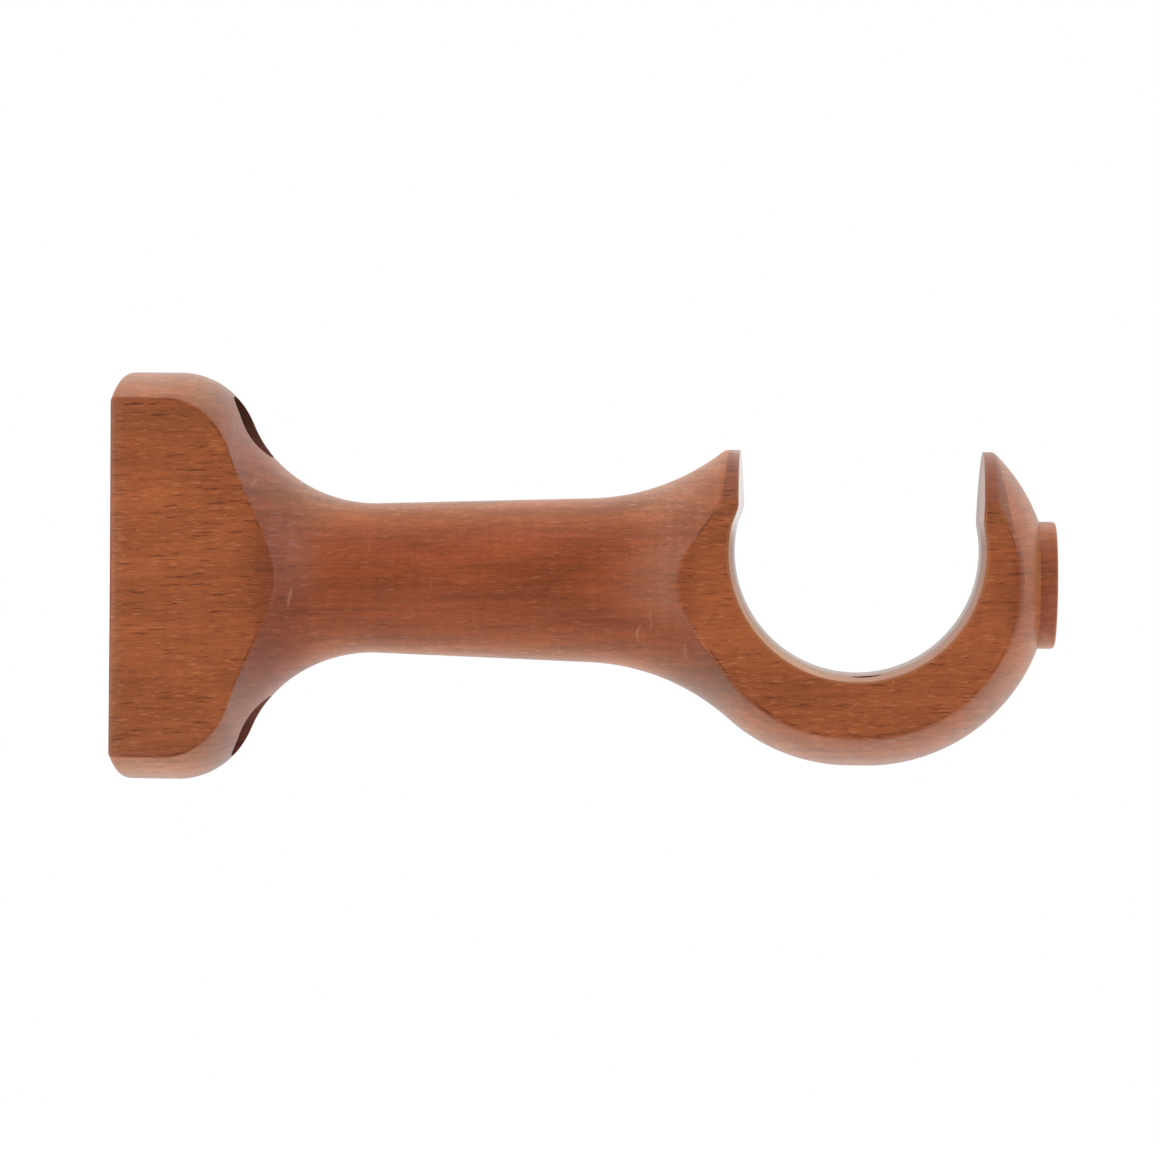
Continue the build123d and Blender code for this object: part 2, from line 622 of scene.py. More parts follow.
        # painted sheen: the nib and the corner before it are made greyer
        colour = desk.tint(desk.ramp(place["X"], *self.nib), colour, self.nib_sheen_tone)
        # painted shade and sheen, patch by patch
        for patch in self.shade_sheen_patches:
            along = desk.math("SUBTRACT", place["X"], patch.along)
            away = desk.length(desk.join(along, desk.math("SUBTRACT", place["Z"], patch.height)))
            colour = desk.tint(desk.fall(away, self.patch_core, patch.reach), colour, patch.tone)
        return desk.mix(desk.product(spot.grain["Marks"], self.mark_strength), colour, self.mark_tone)

    def on_horn(self, spot: Spot) -> Socket:
        """Finds the faces of the two horns, between their leaning lines.

        Args:
            spot: the point to look at.

        Returns:
            A mask, 1 on the horns.
        """
        desk, along, height = spot.desk, spot.place["X"], spot.place["Z"]
        above = desk.math("GREATER_THAN", height, self.horn_start)
        mask = desk.product(above, desk.math("GREATER_THAN", along, self.head_start))
        down = desk.math("SUBTRACT", self.horn_top, height)
        for (side, lean), inward in ((self.horn_left, 1.0), (self.horn_right, -1.0)):
            line = desk.math("ADD", desk.product(down, lean), side)
            inside = desk.product(desk.math("SUBTRACT", along, line), inward)
            mask = desk.product(mask, desk.ramp(inside, -self.horn_blur, self.horn_blur))
        return mask

    def plank_face(self, spot: Spot, colour: Socket, on_horn: Socket) -> Socket:
        """Colours the plank faces and the horns.

        Args:
            spot: the point to colour.
            colour: the stained wood.
            on_horn: the mask of the horns.

        Returns:
            The colour.
        """
        desk, along, height = spot.desk, spot.place["X"], spot.place["Z"]
        depth = desk.math("ABSOLUTE", spot.place["Y"])
        aloft = desk.math("ABSOLUTE", height)
        squashed = desk.product(aloft, self.pool_squash)
        for middle, reach, strength in self.pools:
            away = desk.length(desk.join(desk.math("SUBTRACT", along, middle), squashed))
            pooled = desk.ramp(away, self.pool_core, reach, strength, 0.0)
            colour = desk.tint(pooled, colour, self.pool_tone)
        brim = desk.product(desk.ramp(aloft, *self.brim), desk.fall(along, *self.base_reach))
        colour = desk.tint(brim, colour, self.brim_tone)
        # painted sheen: the plank's edge at the wall is made paler and greyer
        colour = desk.tint(desk.fall(along, *self.wall_sheen_band), colour, self.wall_sheen_tone)
        head = desk.math("GREATER_THAN", along, self.head_start)
        below = desk.math("MAXIMUM", desk.fall(height, *self.line_end), desk.math("SUBTRACT", 1.0, head))
        line = desk.product(desk.ramp(depth, *self.line_rise), desk.fall(depth, *self.line_fall))
        line = desk.product(line, desk.ramp(along, *self.line_start), below)
        broken = desk.ramp(desk.noise(spot.point, self.line_breaks), *self.break_span)
        line = desk.product(line, desk.ramp(aloft, *self.line_tip), broken)
        colour = desk.tint(line, colour, self.line_tone)
        # painted shade: where the horns' stain runs off the plank onto wood facing upwards, it is darkened
        over_edge = desk.product(desk.fall(depth, *self.edge_band), on_horn)
        colour = desk.tint(over_edge, colour, self.horn_shade_tone)
        faded = desk.product(desk.ramp(height, *self.horn_fade), head)
        return desk.tint(faded, colour, self.fade_tone)

    def outside(self, spot: Spot) -> tuple[Socket, Socket, Value]:
        """Finishes the outside: one stain on the plank faces and the horns, and another on what was turned.

        Args:
            spot: the point to finish.

        Returns:
            The colour, the relief of the figure and the roughness.
        """
        desk, place, grain = spot.desk, spot.place, spot.grain
        flat = spot.stained(self.flat)
        on_horn = self.on_horn(spot)
        ragged = desk.swing(grain["Pores"], self.edge_rag)
        ragged = desk.math("ADD", ragged, desk.ramp(place["X"], *self.end_reach, 0.0, self.end_shift))
        depth = desk.math("ADD", desk.math("ABSOLUTE", place["Y"]), ragged)
        on_plank = desk.math("MAXIMUM", desk.ramp(depth, *self.edge_band), on_horn)
        colour = desk.mix(on_plank, self.turned_wood(spot), self.plank_face(spot, flat["Color"], on_horn))
        roughness = desk.math("ADD", desk.swing(grain["Mottle"], self.satin_swing), self.satin)
        return colour, flat["Height"], roughness

    def inside_cup(self, spot: Spot) -> tuple[Socket, Socket, Value]:
        """Finishes the cup, its rounded rim and the walls of the mouth, with painted shade at the back and a
        painted reflection towards the arm.

        Args:
            spot: the point to finish.

        Returns:
            The colour, the relief of the figure and the roughness.
        """
        desk, place, facing = spot.desk, spot.place, spot.facing()
        wood = spot.stained(self.cup)
        # painted shade: the back of the cup is darkened
        behind = desk.ramp(place["Y"], *self.back_shade_band)
        colour = desk.tint(behind, wood["Color"], self.back_shade_tone)
        # painted reflection: the cup is made paler and greyer towards the arm
        colour = desk.tint(desk.fall(place["X"], *self.cup_sheen_side), colour, self.cup_sheen_tone)
        aloft = desk.ramp(place["Z"], *self.rim_band)
        tilted = desk.fall(desk.math("ABSOLUTE", facing["X"]), *self.mouth_tilt)
        rounded = desk.ramp(desk.math("ABSOLUTE", facing["Y"]), *self.rim_tilt)
        rounded = desk.math("MAXIMUM", rounded, desk.product(tilted, aloft))
        rim = desk.tint(1.0, wood["Color"], desk.mix(aloft, *self.rim_tones))
        right = desk.math("GREATER_THAN", place["X"], self.mouth_split)
        low = desk.ramp(behind, 0.0, 1.0, *self.cup_satin)
        high = desk.ramp(right, 0.0, 1.0, *self.mouth_satin)
        roughness = desk.ramp(place["Z"], *self.mouth_band, low, high)
        return desk.mix(rounded, colour, rim), wood["Height"], roughness

    def inside_bore(self, spot: Spot) -> tuple[Socket, Socket, Value]:
        """Finishes the holes, whose dark stain is painted shade and which are painted paler below the arm.

        Args:
            spot: the point to finish.

        Returns:
            The colour, the relief of the figure and the roughness.
        """
        wood = spot.stained(self.bore)
        # painted light: the holes are made paler below the arm
        low = spot.desk.fall(spot.place["Z"], *self.low_light_band)
        return spot.desk.tint(low, wood["Color"], self.low_light_tone), wood["Height"], self.dull

    def material(self, surface: Surface, figure: Tree, over: Tree) -> bpy.types.Material:
        """Builds the finish of one kind of surface.

        Args:
            surface: the kind of surface.
            figure: the group that finds the wood's figure.
            over: the group that lays a stain over it.

        Returns:
            The material.
        """
        material, desk = new_material("beech_" + surface.name.lower())
        place = desk.put("TexCoord").outputs["Object"]
        point = desk.put("VectorMath", {0: place, "Scale": 1.0 / MM}, operation="SCALE").outputs["Vector"]
        grain = desk.put("Group", {"Point": point}, node_tree=figure).outputs
        spot = Spot(desk, point, desk.split(point), grain, over)
        coats = {
            Surface.OUTSIDE: self.outside,
            Surface.CUP: self.inside_cup,
            Surface.BORE: self.inside_bore,
        }
        colour, height, roughness = coats[surface](spot)
        relief = {"Strength": self.relief_strength, "Distance": self.relief_depth * MM, "Height": height}
        wood = {"Base Color": colour, "Roughness": roughness, "IOR": self.lacquer_index}
        wood["Normal"] = desk.put("Bump", relief).outputs["Normal"]
        desk.put("OutputMaterial", {"Surface": desk.put("BsdfPrincipled", wood).outputs["BSDF"]})
        return material


def soft_minimum(first: Array, second: Array, width: float) -> Array:
    """The smaller of two lengths, rounded: min(a, b) - w h h / 4, where h = max(w - |a - b|, 0) / w."""
    nearness = np.clip(width - np.abs(first - second), 0.0, None) / width
    return np.minimum(first, second) - width * nearness**2 / 4.0


def tube_quads(rows: int, columns: int) -> Array:
    """Joins a grid of corners that closes on itself along its columns.

    Args:
        rows: number of rings.
        columns: number of corners in a ring.

    Returns:
        Four corner numbers for each face: along the rows first, then along the columns.
    """
    row, column = np.meshgrid(np.arange(rows - 1), np.arange(columns), indexing="ij")
    following = (column + 1) % columns
    here, there = row * columns, (row + 1) * columns
    corners = (here + column, there + column, there + following, here + following)
    return np.stack(corners, axis=-1).reshape(-1, 4)


def tube_faces(rows: int, columns: int, rows_first: bool) -> Faces:
    """Joins a grid of corners into a tube with a cap on each end.

    Args:
        rows: number of rings.
        columns: number of corners in a ring.
        rows_first: True if a step along the rows, then along the columns, turns about the outward normal.

    Returns:
        The corner numbers of each face.
    """
    quads = tube_quads(rows, columns)
    first, last = np.arange(columns), np.arange(columns) + (rows - 1) * columns
    if rows_first:
        return [*quads.tolist(), first.tolist(), last[::-1].tolist()]
    return [*quads[:, ::-1].tolist(), first[::-1].tolist(), last.tolist()]


def mesh_object(name: str, corners: Array, faces: Faces, surface: Surface) -> bpy.types.Object:
    """Makes an object from corners in millimetres.

    Args:
        name: name of the object and its mesh.
        corners: places of the corners.
        faces: corner numbers of each face.
        surface: how its faces were made.

    Returns:
        The object, with an empty material slot for each kind of surface.
    """
    mesh = bpy.data.meshes.new(name)
    mesh.from_pydata(corners.reshape(-1, 3) * MM, [], faces)
    mesh.polygons.foreach_set("material_index", np.full(len(faces), surface.value, np.int32))
    for _ in Surface:
        mesh.materials.append(None)
    mesh.update()
    return new_object(name, mesh)


@dataclass
class Turning:
    """The turned body, before it is bored: millimetres, but degrees for the taper.

    Rows lie along the outline. Columns lie about the arm, on the turned and the flat part of each quarter,
    and where they part is at most the widest edge, in radians.
    """

    base_radius: float = 24.5
    rim_length: float = 6.3
    shoulder_radius: float = 8.5
    cove_radius: float = 17.0
    arm_radius: float = 9.0
    arm_taper: float = 1.85
    throat_radius: float = 27.0
    ball_middles: Span = (86.8, 88.7)
    ball_radius: float = 21.7
    nib_radius: float = 7.55
    nib_length: float = 2.0
    nib_foot: float = 0.3
    nib_edge: float = 0.4
    nib_bulge: float = 0.3
    flat_level: float = 12.5
    tip_height: float = 15.75
    head_start: float = 31.0
    flat_edge: float = 0.3
    wall_edge: Span = (1.0, 0.35)
    widest_edge: float = 1.25
    edge_rows: int = 5
    rim_rows: int = 10
    arc_rows: tuple[int, ...] = (30, 64, 64, 60, 84)
    arm_rows: int = 42
    turned_columns: int = 16
    turned_crowding: float = 1.8
    flat_columns: int = 14
    flat_crowding: float = 2.0

    def outline(self) -> Array:
        """Draws the turned outline, arc by arc from the wall to the end of the nib.

        Every arc is middle + radius * (sin a, cos a). The throat's middle lies one throat radius off the
        line of the arm, and one throat and one ball radius from the first ball's middle, which gives it as
        the smaller root of a quadratic.

        Returns:
            Rows of distance along the arm and radius.
        """
        slope = np.radians(self.arm_taper)
        sway = self.shoulder_radius + self.cove_radius
        drop = self.base_radius - self.arm_radius + self.cove_radius * (1.0 - np.cos(slope))
        turn = np.arccos(1.0 - drop / sway)
        high = np.array((self.rim_length, self.base_radius - self.shoulder_radius))
        low = high + sway * np.array((np.sin(turn), np.cos(turn)))
        start = low + self.cove_radius * np.array((np.sin(slope), -np.cos(slope)))
        rise = np.tan(slope)
        lift = start[1] - rise * start[0] + self.throat_radius / np.cos(slope)
        apart = self.ball_radius + self.throat_radius
        first, second = self.ball_middles
        quadratic = (1.0 + rise**2, 2.0 * (rise * lift - first), first**2 + lift**2 - apart**2)
        root = np.roots(quadratic).real.min()
        throat = np.array((root, rise * root + lift))
        join = np.arctan2(first - throat[0], throat[1])
        finish = np.arccos(self.nib_radius / self.ball_radius)
        arcs = (
            (high, self.shoulder_radius, 0.0, turn),
            (low, -self.cove_radius, turn, -slope),
            (throat, -self.throat_radius, -slope, -join),
            (np.array((first, 0.0)), self.ball_radius, -join, 0.0),
            (np.array((second, 0.0)), self.ball_radius, 0.0, finish),
        )
        rim = np.linspace(self.wall_edge[0], self.rim_length, self.rim_rows)
        parts = [np.stack((rim, np.full_like(rim, self.base_radius)), axis=1)]
        for (middle, radius, begin, stop), rows in zip(arcs, self.arc_rows):
            angle = np.linspace(begin, stop, rows)
            parts.append(middle + radius * np.stack((np.sin(angle), np.cos(angle)), axis=1))
        arm = np.linspace(parts[2][-1], parts[3][0], self.arm_rows)[1:-1]
        nib = second + self.ball_radius * np.sin(finish)
        end, side, edge = nib + self.nib_length, self.nib_radius, self.nib_edge
        bulge = self.nib_bulge * edge
        rounded = ((end - edge, side), (end - bulge, side - bulge), (end, side - edge))
        tip = np.array(((nib + self.nib_foot, side), *rounded))
        joined = np.concatenate((*parts[:3], arm, *parts[3:], tip))
        fresh = np.concatenate(((True,), np.abs(np.diff(joined, axis=0)).sum(axis=1) > TINY))
        return joined[fresh]

    def depth(self, along: Array, height: Array) -> Array:
        """Finds half the thickness of the wood at a distance along the arm and a height over its axis.

        Args:
            along: distances along the arm.
            height: heights over the axis.

        Returns:
            The smaller of the plank's half thickness and the chord of the turned circle, 0 outside it.
        """
        outline = self.outline()
        radius = np.interp(along, outline[:, 0], outline[:, 1])
        radius = np.where(height > 0.0, np.minimum(radius, self.tip_height), radius)
        return np.minimum(np.sqrt(np.clip(radius**2 - height**2, 0.0, None)), self.flat_level)

    def build(self) -> bpy.types.Object:
        """Makes the turned body as one surface over the outline and the angle about the arm.

        A corner is (x, R sin a, R cos a), where R is the soft minimum of the outline's radius, the plank's
        flat level / |sin a| and, above the arm, the tip height. The angles crowd where the flats begin, and
        the first rows round the edge at the wall: x = e (1 - cos b), R less f (1 - sin b).

        Returns:
            The body, closed on both ends.
        """
        bend = np.linspace(0.0, QUARTER, self.edge_rows + 1)[:-1]
        edge = np.stack((1.0 - np.cos(bend), 1.0 - np.sin(bend)), axis=1) * np.array(self.wall_edge)
        outline = self.outline()
        along = np.concatenate((edge[:, 0], outline[:, 0]))
        radius = np.concatenate((np.full(len(edge), self.base_radius), outline[:, 1]))
        inset = np.concatenate((edge[:, 1], np.zeros(len(outline))))
        on_head = along > self.head_start
        before = np.arange(self.turned_columns + 1) / self.turned_columns
        before = 1.0 - (1.0 - before) ** self.turned_crowding
        after = (np.arange(1, self.flat_columns + 1) / self.flat_columns) ** self.flat_crowding
        quarters = []
        for limit in (np.where(on_head, np.minimum(radius, self.tip_height), radius), radius):
            turn = np.arcsin(np.clip(self.flat_level / limit, 0.0, np.sin(self.widest_edge)))[:, None]
            quarters.append(np.concatenate((turn * before, turn + (QUARTER - turn) * after), axis=1))
        half = np.concatenate((quarters[0], np.pi - quarters[1][:, -2::-1]), axis=1)
        angle = np.concatenate((half, -half[:, -2:0:-1]), axis=1)
        flat = self.flat_level / np.maximum(np.abs(np.sin(angle)), TINY)
        reach = soft_minimum(np.broadcast_to(radius[:, None], angle.shape), flat, self.flat_edge)
        lowered = soft_minimum(reach, np.full_like(reach, self.tip_height), self.flat_edge)
        reach = np.where(on_head[:, None] & (np.cos(angle) > 0.0), lowered, reach) - inset[:, None]
        across = np.broadcast_to(along[:, None], angle.shape)
        corners = np.stack((across, reach * np.sin(angle), reach * np.cos(angle)), axis=-1)
        return mesh_object("turned_bracket", corners, tube_faces(*angle.shape, True), Surface.OUTSIDE)


@dataclass
class Opening:
    """The cup, its lips and the mouth above: millimetres and degrees, from the middle of the cup."""

    middle: Span = (87.6, 3.7)
    radius: float = 14.9
    mouth: Span = (-13.8, 14.6)
    flare: float = 1.5
    lip_height: float = 5.8
    lip_drop: float = 3.0
    top: float = 21.7
    wall_top: float = 12.7
    edge: float = 0.35
    edge_turns: tuple[float, ...] = (0.0, 20.0, 40.0, 60.0, 75.0)
    horn_edge: float = 0.6
    horn_start: float = 5.0
    horn_blend: float = 2.0
    least_depth: float = 0.15
    spill: float = 0.8
    end: float = 16.0
    wall_columns: int = 36
    lip_columns: int = 14
    cup_columns: int = 110

    def lip(self, start: Array, leave: Array, finish: Array, arrive: Array) -> Array:
        """Draws a cubic from one point and direction to another, its end slopes as long as the lip is high.

        With the points p and q and the slopes m and n at the start and the end, it is
        (1 + 2t)(1 - t)^2 p + t (1 - t)^2 m + t^2 (3 - 2t) q - t^2 (1 - t) n.

        Args:
            start: where it starts.
            leave: unit direction there.
            finish: where it ends.
            arrive: unit direction there.

        Returns:
            Points along it, without its two ends.
        """
        t = np.linspace(0.0, 1.0, self.lip_columns)[1:-1, None]
        slope, stop = self.lip_drop * leave, self.lip_drop * arrive
        near = (1.0 + 2.0 * t) * (1.0 - t) ** 2 * start + t * (1.0 - t) ** 2 * slope
        return near + t**2 * (3.0 - 2.0 * t) * finish - t**2 * (1.0 - t) * stop

    def path(self) -> Array:
        """Draws the outline from the top of the right wall, round the cup, to the top of the left wall.

        Returns:
            Rows of distance along the arm and height, in the frame of the bracket.
        """
        begin = np.arcsin((self.lip_height - self.lip_drop) / self.radius)
        angle = np.linspace(begin, -np.pi - begin, self.cup_columns)
        cup = self.radius * np.stack((np.cos(angle), np.sin(angle)), axis=1)
        wall = np.linspace(self.wall_top, self.lip_height, self.wall_columns)
        height = np.concatenate(((self.top,), wall))
        lean = (height - self.lip_height) * np.tan(np.radians(self.flare))
        right = np.stack((self.mouth[1] + lean, height), axis=1)
        left = np.stack((self.mouth[0] - lean, height), axis=1)[::-1]
        down, up = np.array((0.0, -1.0)), np.array((0.0, 1.0))
        into = np.array((np.sin(begin), -np.cos(begin)))
        out = np.array((np.sin(begin), np.cos(begin)))
        lips = self.lip(right[-1], down, cup[0], into), self.lip(cup[-1], out, left[0], up)
        return np.concatenate((right, lips[0], cup, lips[1], left)) + np.array(self.middle)

    def build(self, turning: Turning) -> bpy.types.Object:
        """Makes the cutter: the outline swept along the pole, rounding over where it leaves the wood.

        At a depth y the outline is moved outwards by e (1 - cos b), where y = d - e + e sin b, d is half
        the thickness of the wood there and e the size of the rounded edge, and past the last b in a line.

        Args:
            turning: the turned body that it cuts.

        Returns:
            The cutter.
        """
        path = self.path()
        step = np.gradient(path, axis=0)
        step /= np.linalg.norm(step, axis=1, keepdims=True)
        outward = np.stack((-step[:, 1], step[:, 0]), axis=1)
        horn = np.clip((path[:, 1] - self.middle[1] - self.horn_start) / self.horn_blend, 0.0, 1.0)
        edge = self.edge + (self.horn_edge - self.edge) * horn
        inner = np.maximum(turning.depth(path[:, 0], path[:, 1]) - edge, self.least_depth)
        bend = np.radians(self.edge_turns)
        deep = inner[:, None] + edge[:, None] * np.sin(bend)
        moved = edge[:, None] * (1.0 - np.cos(bend))
        spilt = deep[:, -1:] + self.spill * np.cos(bend[-1]), moved[:, -1:] + self.spill * np.sin(bend[-1])
        nothing = np.zeros((len(path), 1))
        half_deep = np.concatenate((0.5 * inner[:, None], deep, spilt[0], nothing + self.end), axis=1)
        half_moved = np.concatenate((nothing, moved, spilt[1], spilt[1]), axis=1)
        deep = np.concatenate((-half_deep[:, ::-1], nothing, half_deep), axis=1)
        moved = np.concatenate((half_moved[:, ::-1], nothing, half_moved), axis=1)
        place = path[:, None, :] + outward[:, None, :] * moved[:, :, None]
        corners = np.stack((place[..., 0], deep, place[..., 1]), axis=-1).transpose(1, 0, 2)
        return mesh_object("cup_cutter", corners, tube_faces(*corners.shape[:2], False), Surface.CUP)


@dataclass
class Bore:
    """A round hole: each step is a radius and a distance from its start along its axis, in millimetres."""

    name: str
    start: Place
    axis: Place
    steps: tuple[Span, ...]
    columns: int = 72

    def build(self) -> bpy.types.Object:
        """Makes the cutter: rings of the given radius and distance, start + l a + r (cos t u + sin t v).

        Returns:
            The cutter.
        """
        axis = np.array(self.axis) / np.linalg.norm(self.axis)
        side = np.array((0.0, 1.0, 0.0))
        radius, along = np.array(self.steps).T[:, :, None, None]
        angle = np.linspace(0.0, 2.0 * np.pi, self.columns, endpoint=False)[None, :, None]
        ring = np.cos(angle) * side + np.sin(angle) * np.cross(axis, side)
        corners = np.array(self.start) + along * axis + radius * ring
        return mesh_object(self.name, corners, tube_faces(*corners.shape[:2], False), Surface.BORE)


@dataclass
class Bracket:
    """The turned bracket: its body, what is cut from it, and its finish."""

    node: str = "bracket_body"
    turning: Turning = field(default_factory=Turning)
    opening: Opening = field(default_factory=Opening)
    screw_start: float = 14.0
    screw_slant: float = 15.0
    screw_steps: tuple[Span, ...] = ((2.25, -9.0), (2.25, 5.0), (4.15, 5.0), (4.15, 34.0))
    lock_start: Place = (88.9, 0.0, 3.7)
    lock_steps: tuple[Span, ...] = ((1.75, 0.0), (1.75, 30.0))
    sharp_angle: float = 30.0
    end_face: float = 0.9995
    finish: WoodFinish = WoodFinish()
    figure: BeechFigure = BeechFigure()

    def cutters(self) -> list[bpy.types.Object]:
        """Makes the cutters for the cup, the two wall screws and the lock screw.

        Returns:
            The cutters.
        """
        slant = np.radians(self.screw_slant)
        bores = [Bore("lock_cutter", self.lock_start, (0.0, 0.0, -1.0), self.lock_steps)]
        for name, side in (("upper_screw_cutter", 1.0), ("lower_screw_cutter", -1.0)):
            axis = (float(np.cos(slant)), 0.0, side * float(np.sin(slant)))
            bores.append(Bore(name, (0.0, 0.0, side * self.screw_start), axis, self.screw_steps))
        return [self.opening.build(self.turning), *(bore.build() for bore in bores)]

    def build(self) -> bpy.types.Object:
        """Makes the visible piece: the turned body less its cutters, smooth but for flat ends and rims.

        Returns:
            The piece, riding on the CAD body and standing for its node.
        """
        piece = self.turning.build()
        cutters = self.cutters()
        for cutter in cutters:
            cut = piece.modifiers.new(cutter.name, "BOOLEAN")
            cut.operation = "DIFFERENCE"
            cut.solver = "EXACT"
            cut.object = cutter
        view = bpy.context.evaluated_depsgraph_get()
        mesh = bpy.data.meshes.new_from_object(piece.evaluated_get(view))
        piece.modifiers.clear()
        piece.data = mesh
        mesh.name = piece.name
        for cutter in cutters:
            bpy.data.meshes.remove(cutter.data)
        normals = np.empty(3 * len(mesh.polygons), np.float32)
        mesh.polygons.foreach_get("normal", normals)
        mesh.set_sharp_from_angle(angle=np.radians(self.sharp_angle))
        mesh.polygons.foreach_set("use_smooth", np.abs(normals[::3]) < self.end_face)
        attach(piece, "root")
        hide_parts(self.node)
        return piece

    def dress(self, piece: bpy.types.Object) -> None:
        """Gives each kind of surface its material.

        Args:
            piece: the built bracket.
        """
        figure, over = self.figure.group(), Stain.group()
        for surface in Surface:
            piece.data.materials[surface.value] = self.finish.material(surface, figure, over)


@dataclass(frozen=True)
class SoftBox:
    """A square lamp: its place and side in metres, and its power in watts."""

    name: str
    place: Place
    side: float
    power: float

    def hang(self, aim: Place) -> None:
        """Hangs the lamp, out of sight of the camera and of reflections.

        Args:
            aim: the point it faces.
        """
        lamp = bpy.data.lights.new(self.name, "AREA")
        lamp.shape = "SQUARE"
        lamp.size = self.side
        lamp.energy = self.power
        holder = new_object(self.name, lamp)
        turn = (Vector(aim) - Vector(self.place)).to_track_quat("-Z", "Y")
        holder.matrix_world = Matrix.Translation(self.place) @ turn.to_matrix().to_4x4()
        holder.visible_glossy = False
        holder.visible_camera = False


@dataclass
class Studio:
    """A white tent of soft light, a pale floor and the camera, in metres and radians.

    A panel of the tent is two spans of angle, over which it rises and falls, and its level.
    """

    middle: Span = (0.055, 0.0)
    ambient: float = 0.78
    mirror_side: float = 0.68
    mirror_slope: float = 0.6
    left_panel: tuple[Span, Span, float] = ((-1.3, -1.0), (-0.75, -0.3), 1.6)
    right_panel: tuple[Span, Span, float] = ((0.4, 0.75), (1.0, 1.25), 0.4)
    panel_height: Span = (0.35, 0.75)
    boxes: tuple[SoftBox, ...] = (
        SoftBox("top_box", (0.05, -0.15, 0.7), 0.6, 2.2),
        SoftBox("left_box", (-0.5, -0.5, 0.15), 0.4, 0.15),
        SoftBox("right_box", (0.62, -0.5, 0.15), 0.4, 0.4),
        SoftBox("back_box", (0.05, 0.7, 0.35), 0.5, 2.5),
    )
    floor_level: float = -0.11
    floor_radius: float = 3.0
    floor_rings: int = 23
    floor_columns: int = 64
    floor_tone: float = 0.95
    shadow_span: Span = (0.12, 0.3)
    camera_place: Place = (0.085243, -0.428799, 0.009137)
    camera_right: Place = (0.99739, 0.07159, 0.00952)
    camera_up: Place = (-0.01101, 0.02047, 0.99973)
    camera_forward: Place = (-0.07137, 0.99722, -0.0212)
    camera_clip: Span = (0.01, 20.0)
    focal_pixels: float = 3588.0
    image_pixels: float = 1160.0
    sensor: float = 36.0

    def reflected(self) -> Tree:
        """Builds the group that tells how bright the tent is in reflections.

        The tent is white behind the bracket and grows dimmer towards the camera, where a real tent has its
        opening. A panel stands on each side of the opening: its level is added between two angles from the
        view, and fades with height.

        Returns:
            A group that gives the Level in a Direction.
        """
        desk, given, found = node_group("tent_reflected", {"Direction": "Vector"}, {"Level": "Float"})
        part = desk.split(desk.vector("NORMALIZE", given["Direction"]))
        level = desk.math("ADD", desk.product(part["Y"], self.mirror_slope), self.mirror_side, True)
        height = desk.fall(desk.math("ABSOLUTE", part["Z"]), *self.panel_height)
        angle = desk.math("ARCTAN2", part["X"], desk.product(part["Y"], -1.0))
        for rise, drop, extra in (self.left_panel, self.right_panel):
            panel = desk.product(desk.ramp(angle, *rise), desk.fall(angle, *drop), height)
            level = desk.math("ADD", level, desk.product(panel, extra))
        desk.feed(found["Level"], level)
        return desk.tree

    def rays(self, desk: Desk) -> tuple[Socket, Socket]:
        """Masks of the rays that come from the camera, and of those that were mirrored or let through."""
        ray = desk.put("LightPath").outputs
        return ray["Is Camera Ray"], desk.math("MAXIMUM", ray["Is Glossy Ray"], ray["Is Transmission Ray"])

    def tent(self, reflected: Tree) -> None:
        """Surrounds the scene with white: full for the camera, a tent in reflections, softer as light.

        Args:
            reflected: the group that tells how bright the tent is in reflections.
        """
        world = bpy.data.worlds.new("white_tent")
        bpy.context.scene.world = world
        world.use_nodes = True
        world.cycles.sampling_method = "NONE"
        desk = Desk(world.node_tree)
        way = desk.put("TexCoord").outputs["Generated"]
        mirrored = desk.put("Group", {"Direction": way}, node_tree=reflected).outputs["Level"]
        from_camera, bounced = self.rays(desk)
        gap = desk.math("SUBTRACT", mirrored, self.ambient)
        level = desk.math("ADD", self.ambient, desk.product(gap, bounced))
        level = desk.math("MAXIMUM", level, from_camera)
        cloth = desk.put("Background", {"Color": desk.grey(level), "Strength": 1.0})
        desk.put("OutputWorld", {"Surface": cloth.outputs["Background"]})

    def floor(self, reflected: Tree) -> bpy.types.Object:
        """Lays the floor: a disc whose rings grow outwards, radius times cosine and sine of the angle.

        Args:
            reflected: the group that tells how bright the tent is in reflections.

        Returns:
            The floor.
        """
        rings = self.floor_radius * np.linspace(0.0, 1.0, self.floor_rings + 1)[1:] ** 2
        angles = np.linspace(0.0, 2.0 * np.pi, self.floor_columns, endpoint=False)
        radius, angle = np.meshgrid(rings, angles, indexing="ij")
        across = self.middle[0] + radius * np.cos(angle)
        deep = self.middle[1] + radius * np.sin(angle)
        corners = np.stack((across, deep, np.full_like(across, self.floor_level)), axis=-1).reshape(-1, 3)
        mesh = bpy.data.meshes.new("floor")
        quads = tube_quads(self.floor_rings, self.floor_columns)
        mesh.from_pydata(corners, [], [list(range(self.floor_columns)), *quads.tolist()])
        mesh.update()
        floor = new_object("floor", mesh)
        floor.data.materials.append(self.floor_finish(reflected))
        return floor

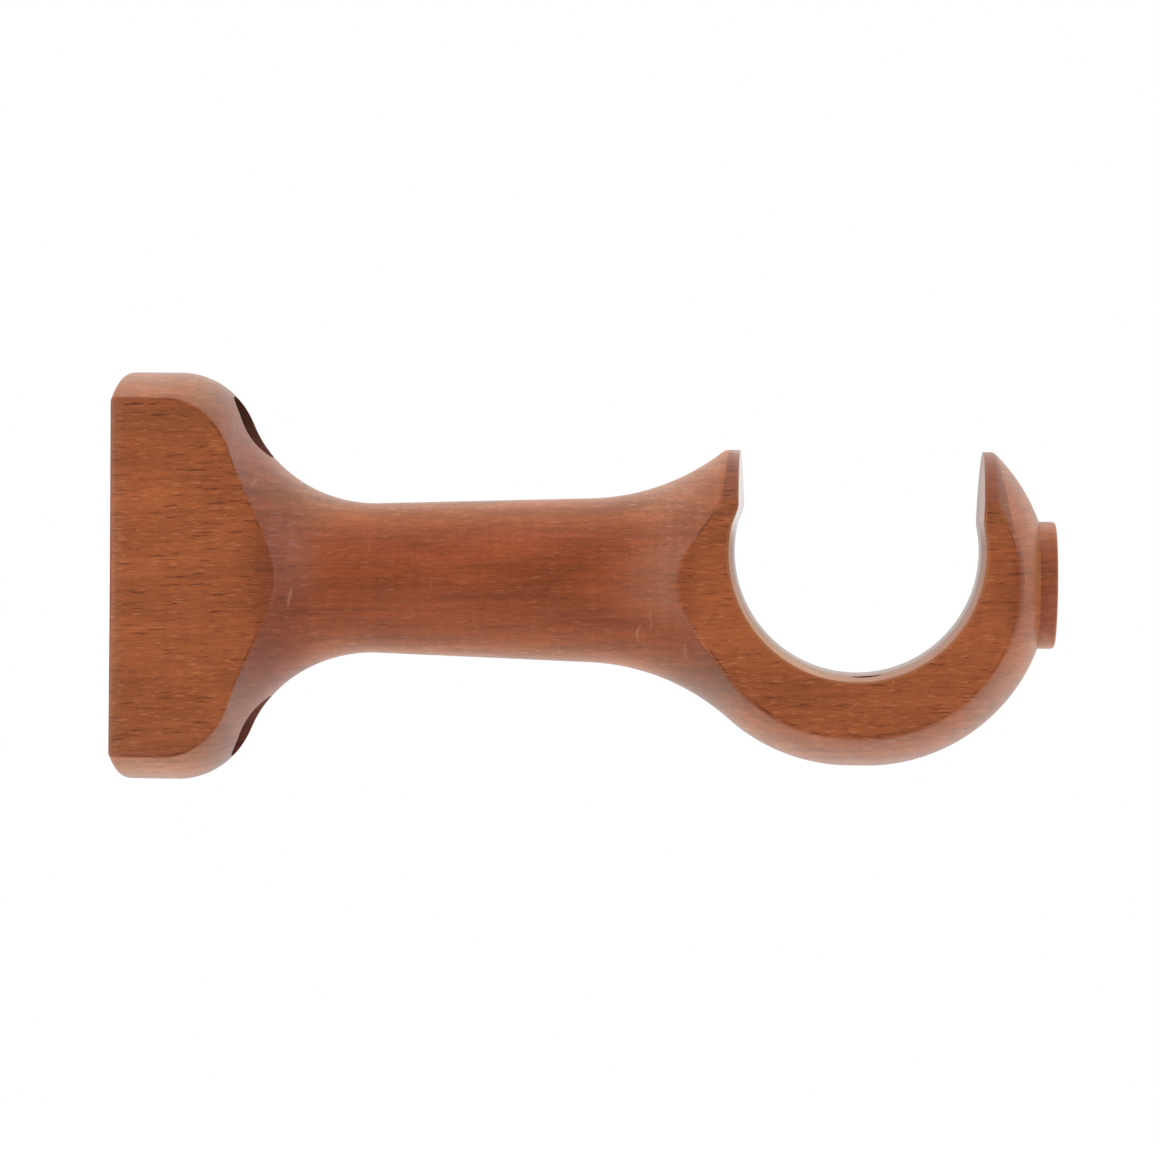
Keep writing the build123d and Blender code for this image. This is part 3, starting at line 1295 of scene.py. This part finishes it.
    def floor_finish(self, reflected: Tree) -> bpy.types.Material:
        """Makes pale paper that keeps the shadow near the bracket and melts into the tent further out.

        Args:
            reflected: the group that tells how bright the tent is in reflections.

        Returns:
            The material.
        """
        material, desk = new_material("pale_paper")
        place = desk.put("TexCoord").outputs["Object"]
        away = desk.length(desk.vector("SUBTRACT", place, (*self.middle, self.floor_level)))
        far = desk.ramp(away, *self.shadow_span)
        from_camera, bounced = self.rays(desk)
        seen = desk.math("MAXIMUM", from_camera, bounced)
        way = desk.vector("SUBTRACT", place, (*self.middle, 0.0))
        mirrored = desk.put("Group", {"Direction": way}, node_tree=reflected).outputs["Level"]
        white = desk.grey(desk.math("MAXIMUM", mirrored, from_camera))
        share = desk.math("MAXIMUM", desk.product(far, seen), bounced)
        paper = desk.put("BsdfDiffuse", {"Color": (self.floor_tone,) * 3}).outputs["BSDF"]
        tent = desk.put("Emission", {"Color": white, "Strength": 1.0}).outputs["Emission"]
        both = desk.put("MixShader", {0: share, 1: paper, 2: tent}).outputs["Shader"]
        desk.put("OutputMaterial", {"Surface": both})
        return material

    def camera(self) -> None:
        """Sets the camera at the photograph's viewing angle: its axes as columns, looking along minus Z."""
        lens = bpy.data.cameras.new("camera")
        lens.sensor_width = self.sensor
        lens.lens = self.focal_pixels / self.image_pixels * self.sensor
        lens.clip_start, lens.clip_end = self.camera_clip
        holder = new_object("camera", lens)
        back = -np.array(self.camera_forward)
        axes = np.stack((self.camera_right, self.camera_up, back, self.camera_place), axis=1)
        holder.matrix_world = Matrix(np.vstack((axes, (0.0, 0.0, 0.0, 1.0))).tolist())
        bpy.context.scene.camera = holder

    def build(self) -> None:
        """Sets up the tent, the floor, the lamps and the camera."""
        reflected = self.reflected()
        self.tent(reflected)
        self.floor(reflected)
        for box in self.boxes:
            box.hang((*self.middle, 0.0))
        self.camera()
        bpy.context.scene.view_settings.view_transform = "Standard"


def main() -> None:
    """Builds the studio and the bracket, and reports each piece."""
    logging.basicConfig(level=logging.INFO, format="%(name)s: %(message)s")
    Studio().build()
    log.info("studio: tent, floor, lamps and camera")
    bracket = Bracket()
    piece = bracket.build()
    bracket.dress(piece)
    kinds = np.empty(len(piece.data.polygons), np.int32)
    piece.data.polygons.foreach_get("material_index", kinds)
    counts = np.bincount(kinds, minlength=len(Surface))
    for surface in Surface:
        log.info("%s: %d faces with the finish %s", piece.name, counts[surface.value], surface.name.lower())


if __name__ == "__main__":
    main()
